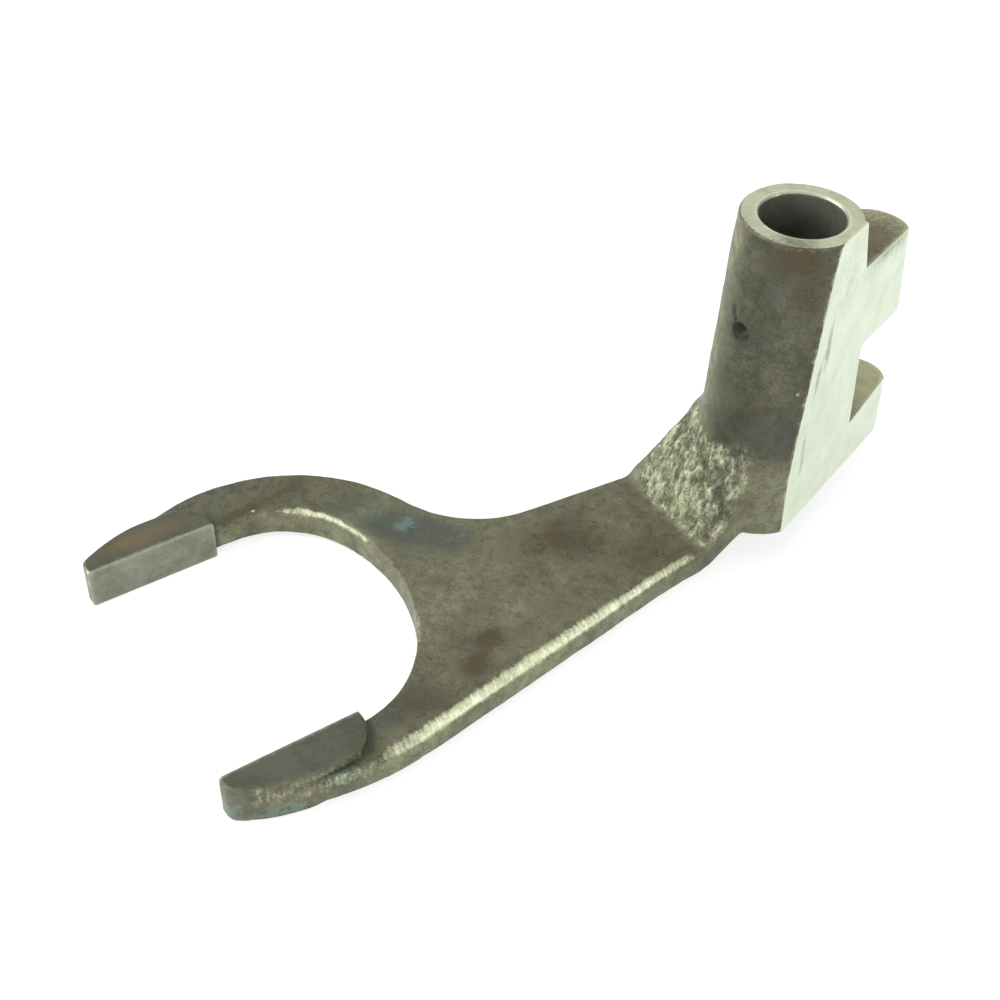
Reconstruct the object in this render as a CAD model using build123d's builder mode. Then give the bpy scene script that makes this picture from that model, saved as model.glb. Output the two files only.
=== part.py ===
from build123d import *
import os
from math import asin, atan2, cos, degrees, radians, sin, sqrt, tan

os.makedirs("parts", exist_ok=True)

# Frame: Z is the axis of the rail bore, z = 0 is the upper face of the plate.
# +X runs along the tines towards their tips, so the two tips differ in Y alone.

# Rail boss
bore_d = 16.0
bore_lead = 0.3
boss_low_end = -0.5
boss_h = 66.8
boss_top_r = 11.5
boss_crown_r = 11.9
boss_crown_drop = 6.8
boss_low_r = 13.2
boss_low_z = 15.0
foot_r = 12.3
foot_round = 0.8
boss_round = 0.6

# Milled flat on the side of the boss
flat_angle = 109.0
flat_offset = 10.5

# Selector lugs, measured along the flat (u) and up the boss (z)
lug_depth = 14.0
lug_crest = 1.4
neck_u_top = 5.3
neck_u_low = 9.2
upper_step = 11.6
upper_under_z = 33.8
upper_u_top = 30.0
upper_u_low = 35.0
gate_u_top = 16.0
gate_u_low = 19.3
lower_top_z_in = 12.1
lower_top_z_out = 15.6
lower_u_top = 36.9
lower_u_low = 38.6
lower_foot_z = -0.1
gate_round = 1.6
lug_nose_r = 6.5

# Pin hole through the wall of the boss on the side of the tines
pin_d = 4.0
pin_z = 46.2
pin_angle = 4.5

# Fork plate and its outline
plate_t = 6.0
plate_top_z = 0.0
reach = 126.5
reach_skew = 0.7
tine_end_back = 3.0
arm_near_angle = 8.4
arm_root_angle = 1.5
neck_x = 26.0
neck_r = 90.0
near_stand = 3.46
near_arc_more = 20.8
arm_far_y = -17.1
arm_far_angle = -5.8
throat_back = 84.1
throat_r = 23.2
throat_turn = 66.3
shoulder_less = 1.7
plate_round = 1.0
gap_edge_round = 0.5

# Gap between the tines
gap_centre_y = -20.7
gap_depth = 52.3
gap_root_more = 7.8
gap_skew = 2.7
gap_far_r = 19.5
gap_near_r = 22.5

# Wear pads at the tips
pad_length = 27.3
pad_gap = 57.6
pad_step = 1.1
pad_wall = 8.6
pad_trim = 0.5
pad_t = 9.0
pad_rise = 2.0
pad_centre_back = 19.5
pad_proud = 0.2
pad_corner_r = 7.0
pad_tip_round = 3.0
pad_edge_round = 0.6

# Arm that climbs from the plate to the boss
bend_x = 18.3
web_x = 16.3
arm_top_x = 9.8
arm_top_z = 11.0
under_x = 18.5
under_top_x = 9.0
under_round = 4.0

# Gusset between the bend and the boss
gusset_h = 28.0
gusset_far_x = 2.2
gusset_far_y = -10.2
gusset_mid_x = 10.2
gusset_mid_y = -2.2
gusset_near_x = 9.8
gusset_near_y = 6.1
gusset_side_x = 7.3
gusset_side_y = 9.3
gusset_low_z = -0.45
gusset_root_y = -12.0
gusset_foot_far_x = 18.6
gusset_foot_far_y = -18.6
gusset_foot_mid_x = 19.3
gusset_foot_mid_y = -6.0
gusset_foot_near_x = 19.5
gusset_foot_y = 6.6
gusset_foot_side_x = 10.5
gusset_foot_side_y = 7.9

# Derived places
boss_crown_z = boss_h - boss_crown_drop
upper_top_z = boss_h - upper_step
far_reach = reach - reach_skew
throat_x = reach - throat_back
gap_root_x = reach - gap_depth
pad_root_x = reach - pad_length
pad_centre_x = reach - pad_centre_back
flat_n = Vector(cos(radians(flat_angle)), sin(radians(flat_angle)), 0)
flat_u = Vector(-sin(radians(flat_angle)), cos(radians(flat_angle)), 0)
flat_plane = Plane(origin=flat_n * flat_offset, x_dir=flat_u, z_dir=flat_n)
pin_plane = Plane(origin=(0, 0, pin_z), z_dir=(cos(radians(pin_angle)), sin(radians(pin_angle)), 0))
plate_low_z = plate_top_z - plate_t
pad_low_z = plate_top_z + pad_rise - pad_t
web_far_y = arm_far_y + web_x * tan(radians(arm_far_angle))
pad_mid = Vector(pad_centre_x, gap_centre_y)
pad_outer_r = pad_gap / 2 + pad_wall
pad_span = 2 * (pad_outer_r - pad_trim)
tine_end_x = far_reach - tine_end_back
tine_tip_r = pad_outer_r - pad_proud
shoulder_r = tine_tip_r - shoulder_less
near_arc_r = tine_tip_r + near_arc_more
near_dir = Vector(cos(radians(arm_near_angle)), sin(radians(arm_near_angle)))
near_side = Vector(-near_dir.Y, near_dir.X)
gap_w = pad_gap + 2 * pad_step
gap_root_r = gap_w / 2 + gap_root_more
gap_root_y = gap_centre_y - gap_skew
gap_near_y = gap_centre_y + gap_w / 2
gap_far_y = gap_centre_y - gap_w / 2
gap_mid_x = gap_root_x + gap_root_r
far_corner_dy = gap_far_y + gap_far_r - gap_root_y
far_corner_dx = sqrt((gap_root_r - gap_far_r) ** 2 - far_corner_dy**2)
far_corner_turn = degrees(atan2(far_corner_dx, -far_corner_dy))
near_corner_dy = gap_near_y - gap_near_r - gap_root_y
near_corner_dx = sqrt((gap_root_r - gap_near_r) ** 2 - near_corner_dy**2)
near_corner_turn = degrees(atan2(near_corner_dx, near_corner_dy))
gap_end_x = reach + plate_t

# Selector lugs with the gate between them, before the flat is milled
with BuildPart() as lugs:
    with BuildSketch(flat_plane.offset(lug_crest)):
        with BuildLine():
            Polyline(
                (0, boss_low_end),
                (lower_u_low, lower_foot_z),
                (lower_u_top, lower_top_z_out),
                (gate_u_low, lower_top_z_in),
                (gate_u_top, upper_under_z),
                (upper_u_low, upper_under_z),
                (upper_u_top, upper_top_z),
                (neck_u_low, upper_top_z),
                (neck_u_top, boss_h),
                (0, boss_h),
                close=True,
            )
        make_face()
        gate_corner = vertices().filter_by(lambda v: abs(v.Y - upper_under_z) < 0.01).sort_by(Axis.X)[0]
        fillet(gate_corner, gate_round)
    extrude(amount=-lug_depth)

    lug_ends = edges().filter_by(lambda e: e.center().dot(flat_u) > upper_u_top - 1)
    fillet(lug_ends.filter_by(lambda e: abs(e.tangent_at(0.5).Z) > 0.9), lug_nose_r)

# Wear pads: thicker tips, turned on the outside and straight on the inside
with BuildPart() as pads:
    with BuildSketch(Plane.XY.offset(pad_low_z)):
        with Locations((pad_centre_x, gap_centre_y)):
            Circle(pad_outer_r)
        with Locations((pad_root_x + reach, gap_centre_y)):
            RectangleRounded(2 * reach, pad_span, pad_corner_r, mode=Mode.INTERSECT)
        with Locations((pad_centre_x, gap_centre_y)):
            Rectangle(2 * reach, pad_gap, mode=Mode.SUBTRACT)
        with Locations((reach + pad_outer_r, gap_centre_y)):
            Rectangle(2 * pad_outer_r, pad_span, mode=Mode.SUBTRACT)
        with Locations((far_reach + pad_outer_r, gap_centre_y - pad_span / 2)):
            Rectangle(2 * pad_outer_r, pad_span, mode=Mode.SUBTRACT)
    extrude(amount=pad_t)
    off_bearing = lambda e: abs(e.center().Y - gap_centre_y) > pad_gap / 2 + 1
    tip_corners = edges().filter_by(Axis.Z).filter_by(lambda e: e.center().X > far_reach - 1)
    fillet(tip_corners.filter_by(off_bearing), pad_tip_round)
    fillet(faces().filter_by(Axis.Z).edges().filter_by(off_bearing), pad_edge_round)

with BuildPart() as fork:
    # Side profile of arm and plate, as deep as the fork is wide
    with BuildSketch(Plane.XZ):
        with BuildLine():
            Polyline(
                (0, 0),
                (under_top_x, 0),
                (under_x, plate_low_z),
                (reach, plate_low_z),
                (reach, plate_top_z),
                (bend_x, plate_top_z),
                (arm_top_x, arm_top_z),
                (0, arm_top_z),
                close=True,
            )
        make_face()
    extrude(amount=reach, both=True)
    under_bend = edges().filter_by(Axis.Y).sort_by_distance((under_x, 0, plate_low_z))[0]
    fillet(under_bend, under_round)

    # Plan outline of arm and plate
    with BuildSketch(Plane.XY.offset(plate_low_z)) as outline:
        with BuildLine():
            far_end = (throat_x, arm_far_y + throat_x * tan(radians(arm_far_angle)))
            far_root = Line((0, -foot_r), (web_x, web_far_y))
            far_line = Line(far_root @ 1, far_end)
            throat = JernArc(far_line @ 1, far_line % 1, throat_r, -throat_turn)
            throat_out = arm_far_angle - throat_turn
            shoulder_in = Vector(-sin(radians(throat_out)), cos(radians(throat_out)))
            shoulder_mid = throat @ 1 + shoulder_in * shoulder_r
            to_pads = pad_mid - shoulder_mid
            tine_taper = asin((tine_tip_r - shoulder_r) / to_pads.length)
            tine_far_angle = degrees(atan2(to_pads.Y, to_pads.X) - tine_taper)
            shoulder = JernArc(throat @ 1, throat % 1, shoulder_r, tine_far_angle - throat_out)
            tine_run = sqrt(to_pads.length**2 - (tine_tip_r - shoulder_r) ** 2)
            tine_line = Line(shoulder @ 1, shoulder @ 1 + (shoulder % 1) * tine_run)
            tip_angle = degrees(asin((tine_end_x - pad_mid.X) / tine_tip_r))
            tip_far = JernArc(tine_line @ 1, tine_line % 1, tine_tip_r, tip_angle - tine_far_angle)
            near_drop = near_arc_more - near_stand
            near_back = sqrt(near_arc_more**2 - near_drop**2)
            near_mid = pad_mid - near_side * near_drop - near_dir * near_back
            near_end = near_mid + near_side * near_arc_r
            neck_turn = arm_near_angle - arm_root_angle
            neck_corner = near_end - near_dir * ((near_end.X - neck_x) / near_dir.X)
            root_dir = Vector(cos(radians(arm_root_angle)), sin(radians(arm_root_angle)))
            near_root_end = neck_corner - root_dir * neck_r * tan(radians(neck_turn / 2))
            near_root = Line(near_root_end - root_dir * (near_root_end.X / root_dir.X), near_root_end)
            neck = JernArc(near_root @ 1, near_root % 1, neck_r, neck_turn)
            near_line = Line(neck @ 1, near_end)
            near_touch = pad_mid - near_mid
            near_turn = arm_near_angle + degrees(atan2(near_touch.X, near_touch.Y))
            near_arc = JernArc(near_line @ 1, near_line % 1, near_arc_r, -near_turn)
            tip_near_turn = tip_angle - near_turn + arm_near_angle
            tip_near = JernArc(near_arc @ 1, near_arc % 1, tine_tip_r, -tip_near_turn)
            Line(tip_far @ 1, tip_near @ 1)
            Line(near_root @ 0, far_root @ 0)
        make_face()
    extrude(amount=plate_t + arm_top_z, mode=Mode.INTERSECT)

    # Gap: two parallel walls, a corner arc on each and a wide arc between them
    with BuildSketch(Plane.XY.offset(plate_low_z)):
        with BuildLine():
            far_wall = Line((gap_end_x, gap_far_y), (gap_mid_x - far_corner_dx, gap_far_y))
            gap_far = JernArc(far_wall @ 1, far_wall % 1, gap_far_r, -far_corner_turn)
            root_turn = far_corner_turn + near_corner_turn - 180
            gap_root = JernArc(gap_far @ 1, gap_far % 1, gap_root_r, root_turn)
            gap_near = JernArc(gap_root @ 1, gap_root % 1, gap_near_r, -near_corner_turn)
            Polyline(gap_near @ 1, (gap_end_x, gap_near_y), (gap_end_x, gap_far_y))
        make_face()
    extrude(amount=plate_t, mode=Mode.SUBTRACT)

    # The forged outer edges of the plate are rounded over, those of the gap are broken
    plate_faces = faces().filter_by(Axis.Z).filter_by(lambda f: f.center().X > bend_x)
    rim = plate_faces.edges().filter_by(lambda e: bend_x + 1 < e.center().X < tine_end_x - 1)
    outside_gap = lambda e: abs(e.center().Y - gap_centre_y) > gap_w / 2 + 1
    fillet(rim.filter_by(lambda e: e.center().X < gap_root_x or outside_gap(e)), plate_round)
    plate_faces = faces().filter_by(Axis.Z).filter_by(lambda f: f.center().X > bend_x)
    gap_edges = plate_faces.edges().filter_by(GeomType.CIRCLE)
    gap_edges = gap_edges.filter_by(lambda e: e.center().X > gap_root_x - 1)
    fillet(gap_edges.filter_by(lambda e: abs(e.center().Y - gap_centre_y) < gap_w / 2 - 0.5), gap_edge_round)

    add(pads.part)

    # Gusset: a bowed face that leans from the bend line into the boss
    with BuildSketch(Plane.XY.offset(gusset_low_z)):
        with BuildLine():
            foot_far = (gusset_foot_far_x, gusset_foot_far_y)
            foot_near = (gusset_foot_near_x, gusset_foot_y)
            foot_side = (gusset_foot_side_x, gusset_foot_side_y)
            ThreePointArc(foot_far, (gusset_foot_mid_x, gusset_foot_mid_y), foot_near)
            Polyline(foot_near, foot_side, (0, gusset_foot_side_y), (0, gusset_root_y), foot_far)
        make_face()
    with BuildSketch(Plane.XY.offset(gusset_h)):
        with BuildLine():
            top_far = (gusset_far_x, gusset_far_y)
            top_near = (gusset_near_x, gusset_near_y)
            top_side = (gusset_side_x, gusset_side_y)
            ThreePointArc(top_far, (gusset_mid_x, gusset_mid_y), top_near)
            Polyline(top_near, top_side, (0, gusset_side_y), (0, gusset_far_y), top_far)
        make_face()
    loft(ruled=True)

    # Rail boss: a slightly flared cone with a ground foot and a rounded top
    with BuildSketch(Plane.XZ):
        with BuildLine():
            Polyline(
                (0, boss_low_end),
                (foot_r, boss_low_end),
                (boss_low_r, boss_low_z),
                (boss_crown_r, boss_crown_z),
                (boss_top_r, boss_h),
                (0, boss_h),
                close=True,
            )
        make_face()
        fillet(vertices().filter_by(lambda v: v.X > 1 and v.Y > boss_h - 1), boss_round)
        fillet(vertices().filter_by(lambda v: v.X > 1 and v.Y < 1), foot_round)
    revolve(axis=Axis.Z)

    # The flat is milled across boss and lugs
    add(lugs.part)
    with BuildSketch(flat_plane):
        Rectangle(2 * reach, 4 * boss_h)
    extrude(amount=boss_low_r, mode=Mode.SUBTRACT)

    # Rail bore with a small lead at both ends, and the pin hole into it
    with BuildSketch(Plane.XZ):
        with BuildLine():
            Polyline(
                (0, boss_low_end),
                (bore_d / 2 + bore_lead, boss_low_end),
                (bore_d / 2, boss_low_end + bore_lead),
                (bore_d / 2, boss_h - bore_lead),
                (bore_d / 2 + bore_lead, boss_h),
                (0, boss_h),
                close=True,
            )
        make_face()
    revolve(axis=Axis.Z, mode=Mode.SUBTRACT)
    with BuildSketch(pin_plane):
        Circle(pin_d / 2)
    extrude(amount=boss_low_r + plate_t, mode=Mode.SUBTRACT)

fork.part.label = "reverse_shift_fork"
export_step(fork.part, "parts/reverse_shift_fork.step")
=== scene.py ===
"""Dresses the forged shift fork: its skin, worn edges, steel finishes and studio."""

import logging
import math
from dataclasses import dataclass, field
from enum import Enum

import bmesh
import bpy
import numpy as np
from mathutils import Matrix, Vector, noise
from mathutils.geometry import delaunay_2d_cdt
from mathutils.kdtree import KDTree


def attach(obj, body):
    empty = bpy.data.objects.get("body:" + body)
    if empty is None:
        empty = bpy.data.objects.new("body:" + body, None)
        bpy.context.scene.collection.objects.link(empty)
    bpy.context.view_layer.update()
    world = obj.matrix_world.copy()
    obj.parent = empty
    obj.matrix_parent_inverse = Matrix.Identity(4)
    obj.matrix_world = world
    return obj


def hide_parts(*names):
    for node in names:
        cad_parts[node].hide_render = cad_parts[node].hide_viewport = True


Socket = bpy.types.NodeSocket
LOG = logging.getLogger("shift_fork")
MM = 0.001
CREASE_ANGLE = 25.0
INSIDE_TRIANGLES = 1
NODE = "reverse_shift_fork"
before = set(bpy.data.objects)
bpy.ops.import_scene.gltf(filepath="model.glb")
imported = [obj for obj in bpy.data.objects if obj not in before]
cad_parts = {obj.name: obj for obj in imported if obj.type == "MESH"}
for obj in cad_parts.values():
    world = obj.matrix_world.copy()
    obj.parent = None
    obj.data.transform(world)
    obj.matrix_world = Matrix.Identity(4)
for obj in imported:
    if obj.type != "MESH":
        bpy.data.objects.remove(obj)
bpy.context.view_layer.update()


def steel(code: str) -> tuple[float, float, float, float]:
    """Turns a hex colour into Blender's linear colour.

    Args:
        code: Six hex digits, as seen on the finished surface.

    Returns:
        The linear red, green, blue and an alpha of 1.
    """
    linear = []
    for start in (0, 2, 4):
        value = int(code[start:start + 2], 16) / 255
        linear.append(value / 12.92 if value <= 0.04045 else ((value + 0.055) / 1.055) ** 2.4)
    return (linear[0], linear[1], linear[2], 1.0)


def ease(value: np.ndarray, low: float, high: float) -> np.ndarray:
    """Smooth step from 0 at low to 1 at high.

    Args:
        value: The numbers to ease.
        low: Where the step starts.
        high: Where the step ends. It may be the smaller one.

    Returns:
        Numbers from 0 to 1.
    """
    t = np.clip((value - low) / (high - low), 0, 1)
    return t * t * (3 - 2 * t)


def window(value: np.ndarray, start: float, full: float, fading: float, end: float) -> np.ndarray:
    """A range with soft ends.

    Args:
        value: The numbers to test.
        start: Where it starts to rise from 0.
        full: Where it reaches 1.
        fading: Where it starts to fall.
        end: Where it is 0 again.

    Returns:
        Numbers from 0 to 1.
    """
    return ease(value, start, full) * ease(value, end, fading)


def unit(vectors: np.ndarray) -> np.ndarray:
    """Brings each row to length 1, and leaves a row of zeros as it is."""
    return vectors / np.maximum(np.linalg.norm(vectors, axis=1, keepdims=True), 1e-12)


def add_node(tree: bpy.types.NodeTree, kind: str, **values: object) -> bpy.types.Node:
    """Adds a node and sets its plain inputs.

    Args:
        tree: The node tree.
        kind: The node's type, without its Shader prefix.
        values: What the named inputs are set to.

    Returns:
        The new node.
    """
    node = tree.nodes.new("ShaderNode" + kind)
    for name, value in values.items():
        node.inputs[name].default_value = value
    return node


def empty_tree(owner: bpy.types.Material | bpy.types.World) -> bpy.types.NodeTree:
    """Gives a material or a world an empty node tree.

    Args:
        owner: The material or world.

    Returns:
        Its node tree.
    """
    owner.use_nodes = True
    owner.node_tree.nodes.clear()
    return owner.node_tree


def add_object(name: str, data: bpy.types.ID) -> bpy.types.Object:
    """Makes an object and links it to the scene.

    Args:
        name: The object's name.
        data: Its mesh, light or camera.

    Returns:
        The object.
    """
    thing = bpy.data.objects.new(name, data)
    bpy.context.scene.collection.objects.link(thing)
    return thing


class Face(Enum):
    """The kinds of surface on the forging. The value is the material's place."""

    FORGED = 0
    FLAT = 1
    RING = 2
    BORE = 3
    PAD = 4
    LUG = 5
    PAD_TOP = 6


class Lay(Enum):
    """Which way the tool marks run on a cut face."""

    ALONG_BOSS = "up the boss"
    RINGS = "round the bore"
    ALONG_TINES = "along the tines"
    NO_WAY = "no way in particular"


@dataclass(frozen=True)
class Stain:
    """A mark on the skin: a soft ellipsoid that the finish breaks up."""

    centre: tuple[float, float, float]
    radii: tuple[float, float, float]
    strength: float = 1.0

    def weight(self, points: np.ndarray) -> np.ndarray:
        """How strongly the mark lies on each point.

        Args:
            points: Places in millimetres, one a row.

        Returns:
            One number a point, at most the mark's strength.
        """
        away = (points - np.array(self.centre)) / np.array(self.radii)
        return self.strength * np.exp(-(away**2).sum(axis=1))


STAINS: dict[str, tuple[Stain, ...]] = {
    "rust": (
        Stain((69.3, 4.5, 0), (2.6, 2.2, 3), 0.95),
        Stain((75.5, 9.1, 0), (2.8, 2.2, 3), 0.85),
        Stain((73.0, 7.3, 0), (2.0, 1.8, 3), 0.45),
        Stain((45.0, -12.0, 0), (9, 5, 5), 0.50),
        Stain((38.0, -6.0, 0), (7, 6, 5), 0.50),
        Stain((30.0, 2.0, 1), (6, 5, 5), 0.42),
        Stain((91.0, 9.3, 0), (5, 4, 4), 0.60),
        Stain((86.5, 12.6, 0), (5, 3, 4), 0.35),
        Stain((81.0, -53.5, 0), (7, 3, 4), 0.50),
        Stain((93.0, -51.5, 0), (7, 1.6, 3), 0.75),
        Stain((113.0, -53.6, 2), (12, 3.0, 3), 0.75),
        Stain((8.6, 8.9, 64.6), (5.0, 4.4, 3.0), 0.85),
        Stain((6.0, 10.5, 57.0), (3.0, 3.0, 5.0), 0.45),
        Stain((11.2, 5.4, 61.0), (3, 3, 3.0), 0.40),
        Stain((11.0, 6.5, 30.0), (3, 3, 5.0), 0.30),
        Stain((-20, -1, 55), (11, 11, 3), 1.05),
        Stain((-17, 1, 13), (3, 7, 2.5), 0.30),
        Stain((58.0, 6.0, 0), (14, 6, 4), 0.22),
        Stain((-33, -2, 45), (7, 7, 9), 0.25),
        Stain((10.0, 0.8, 46.2), (3.2, 2.1, 2.1), 1.0),
    ),
    "soot": (
        Stain((68.7, -32.5, 0), (5, 4, 5), 0.80),
        Stain((64.5, -27.2, 0), (5, 4.5, 5), 0.85),
        Stain((60.5, -21.5, 0), (5, 4.5, 5), 0.62),
        Stain((73.0, -41.0, 0), (6, 5, 5), 0.40),
        Stain((94.5, 10.8, 0), (5, 4, 4), 0.55),
        Stain((98.0, -53.0, 0), (3, 3.5, 4), 0.55),
        Stain((10.4, 6.0, 59.0), (3.0, 3.0, 6), 0.40),
        Stain((10.8, 5.2, 47.0), (3.0, 3.0, 4), 0.30),
        Stain((12.4, -1.0, 34.0), (3.5, 5.0, 5), 0.30),
        Stain((11.3, 4.8, 25.5), (5, 6, 4.0), 0.50),
        Stain((5.5, 11.0, 24.0), (4, 3, 7), 0.50),
        Stain((12.3, -4.4, 24.5), (4, 5, 3), 0.45),
        Stain((66.0, -4.0, 0), (5, 4, 4), 0.16),
    ),
    "bloom": (
        Stain((66.0, -30.8, 0), (2.3, 2.0, 3), 0.95),
        Stain((70.5, -38.0, 0), (3.2, 3.2, 3), 0.45),
        Stain((59.5, -22.0, 0), (3.0, 2.5, 3), 0.28),
        Stain((126.5, -50.5, -4.0), (2.6, 3.0, 4.0), 0.85),
        Stain((121.0, -50.0, -7.0), (5.0, 2.0, 1.8), 0.55),
        Stain((126.0, 9.0, -4.5), (2.6, 5.0, 3.0), 0.75),
        Stain((119.0, 15.0, -5.5), (6.0, 3.0, 2.2), 0.55),
        Stain((108.0, 16.5, -1.0), (5.0, 2.0, 2.0), 0.35),
    ),
    "bright": (
        Stain((55.2, -10.2, 0), (0.55, 0.45, 1), 1.0),
        Stain((55.0, -4.4, 0), (0.40, 0.40, 1), 0.8),
        Stain((47.6, -4.3, 0), (0.40, 0.40, 1), 0.8),
        Stain((90.0, -50.7, 0), (0.6, 0.5, 1), 1.0),
        Stain((5.2, 11.3, 35.7), (0.5, 0.5, 0.7), 1.0),
    ),
    "scratch": (
        Stain((12.3, -1.6, 49.9), (3.0, 0.55, 1.0), 1.8),
        Stain((12.3, -0.9, 48.6), (3.0, 0.50, 0.9), 1.8),
    ),
    "smear": (
        Stain((7.4, 6.6, 66.8), (5.0, 5.0, 1.0), 0.85),
        Stain((-1.8, 10.5, 45.0), (1.0, 1.0, 5.0), 0.85),
        Stain((-0.2, 11.2, 37.0), (0.8, 0.8, 4.5), 0.80),
        Stain((-2.6, 10.2, 40.0), (1.2, 1.2, 3.0), 0.42),
        Stain((0.2, 11.2, 21.0), (0.7, 0.7, 3.2), 0.85),
        Stain((-0.8, 10.9, 15.0), (0.8, 0.8, 3.2), 0.80),
        Stain((-6.0, 9.0, 55.0), (4.0, 4.0, 10.0), 0.30),
        Stain((-8.0, 8.4, 30.0), (6.0, 6.0, 18.0), 0.15),
    ),
}


class NodeSheet:
    """Builds one material's node tree with short calls."""

    def __init__(self, name: str) -> None:
        """Makes the material with an empty tree and its shader.

        Args:
            name: The material's name.
        """
        self.material = bpy.data.materials.new(name)
        self.tree = empty_tree(self.material)
        self.shader = add_node(self.tree, "BsdfPrincipled")
        output = add_node(self.tree, "OutputMaterial")
        self.tree.links.new(self.shader.outputs["BSDF"], output.inputs["Surface"])

    def feed(self, socket: Socket, value: object) -> None:
        """Links a socket to a source, or sets it to a number or colour.

        Args:
            socket: The input to fill.
            value: Another node's output, or a plain value.
        """
        if isinstance(value, Socket):
            self.tree.links.new(value, socket)
        else:
            socket.default_value = value

    def millimetres(self) -> Socket:
        """Gives the object's own coordinates in millimetres."""
        coordinates = add_node(self.tree, "TexCoord")
        return self.vector("SCALE", coordinates.outputs["Object"], scale=1 / MM)

    def vector(
        self, operation: str, first: object, second: object = None, scale: float = 1.0
    ) -> Socket:
        """One vector step.

        Args:
            operation: The vector operation's name.
            first: The first vector.
            second: The second vector, where the step has one.
            scale: The factor of a SCALE step.

        Returns:
            The resulting vector, or the length for a LENGTH step.
        """
        node = add_node(self.tree, "VectorMath")
        node.operation = operation
        self.feed(node.inputs[0], first)
        if second is not None:
            self.feed(node.inputs[1], second)
        if operation == "SCALE":
            node.inputs["Scale"].default_value = scale
        return node.outputs["Value" if operation == "LENGTH" else "Vector"]

    def maths(self, operation: str, first: object, second: object) -> Socket:
        """One arithmetic step.

        Args:
            operation: The operation's name.
            first: The first number.
            second: The second number.

        Returns:
            The resulting number.
        """
        node = add_node(self.tree, "Math")
        node.operation = operation
        self.feed(node.inputs[0], first)
        self.feed(node.inputs[1], second)
        return node.outputs["Value"]

    def total(self, *parts: tuple[object, float], shift: float = 0.0) -> Socket:
        """Adds several numbers up, each times its own factor.

        Args:
            parts: The numbers and their factors.
            shift: What is added at the end.

        Returns:
            The sum.
        """
        result = None
        for value, factor in parts:
            term = value if factor == 1 else self.maths("MULTIPLY", value, factor)
            result = term if result is None else self.maths("ADD", result, term)
        return self.maths("ADD", result, shift) if shift else result

    def grain(
        self, place: object, scale: float, detail: float, rough: float, twist: float = 0.0
    ) -> Socket:
        """Fractal noise.

        Args:
            place: The coordinates, in millimetres.
            scale: Features per millimetre.
            detail: How many octaves.
            rough: How strong the fine octaves are.
            twist: How far the noise is distorted.

        Returns:
            A number from 0 to 1, mostly near the middle.
        """
        settings = {"Scale": scale, "Detail": detail, "Roughness": rough, "Distortion": twist}
        node = add_node(self.tree, "TexNoise", **settings)
        self.feed(node.inputs["Vector"], place)
        return node.outputs["Fac"]

    def cells(self, place: object, scale: float) -> Socket:
        """Distance to the nearest of scattered points.

        Args:
            place: The coordinates, in millimetres.
            scale: Points per millimetre.

        Returns:
            The distance, 0 at a point.
        """
        node = add_node(self.tree, "TexVoronoi", Scale=scale)
        self.feed(node.inputs["Vector"], place)
        return node.outputs["Distance"]

    def span(
        self, value: object, low: float, high: float, to_low: float = 0.0, to_high: float = 1.0
    ) -> Socket:
        """Maps one range smoothly onto another, and stays inside it.

        Args:
            value: The number to map.
            low: The start of its range.
            high: The end of its range.
            to_low: What the start becomes.
            to_high: What the end becomes.

        Returns:
            The mapped number.
        """
        limits = {"From Min": low, "From Max": high, "To Min": to_low, "To Max": to_high}
        node = add_node(self.tree, "MapRange", **limits)
        node.interpolation_type = "SMOOTHSTEP"
        self.feed(node.inputs["Value"], value)
        return node.outputs["Result"]

    def blend(self, share: object, under: object, over: object) -> Socket:
        """Lays one colour over another.

        Args:
            share: How much of the upper colour shows.
            under: The lower colour.
            over: The upper colour.

        Returns:
            The mixed colour.
        """
        node = add_node(self.tree, "Mix")
        node.data_type = "RGBA"
        self.feed(node.inputs["Factor"], share)
        self.feed(node.inputs[6], under)
        self.feed(node.inputs[7], over)
        return node.outputs[2]

    def mask(self, name: str) -> Socket:
        """Reads a number that the mesh keeps at each vertex.

        Args:
            name: The channel's name.

        Returns:
            The number.
        """
        node = add_node(self.tree, "Attribute")
        node.attribute_name = name
        return node.outputs["Fac"]

    def relief(self, height: object, depth: float, under: object = None) -> Socket:
        """Turns a height into a bent normal.

        Args:
            height: The height, 0 to 1.
            depth: What a height of 1 is, in millimetres.
            under: The normal of the relief below, if any.

        Returns:
            The bent normal.
        """
        node = add_node(self.tree, "Bump", Strength=1.0, Distance=depth * MM)
        self.feed(node.inputs["Height"], height)
        if under is not None:
            self.feed(node.inputs["Normal"], under)
        return node.outputs["Normal"]

    def finish(
        self, colour: object, roughness: object, metallic: float, normal: object
    ) -> bpy.types.Material:
        """Fills the shader and hands the material over.

        Args:
            colour: The surface colour.
            roughness: How dull the surface is.
            metallic: How much of it is bare metal.
            normal: The bent normal.

        Returns:
            The finished material.
        """
        self.feed(self.shader.inputs["Base Color"], colour)
        self.feed(self.shader.inputs["Roughness"], roughness)
        self.feed(self.shader.inputs["Metallic"], metallic)
        self.feed(self.shader.inputs["Normal"], normal)
        return self.material


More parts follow.
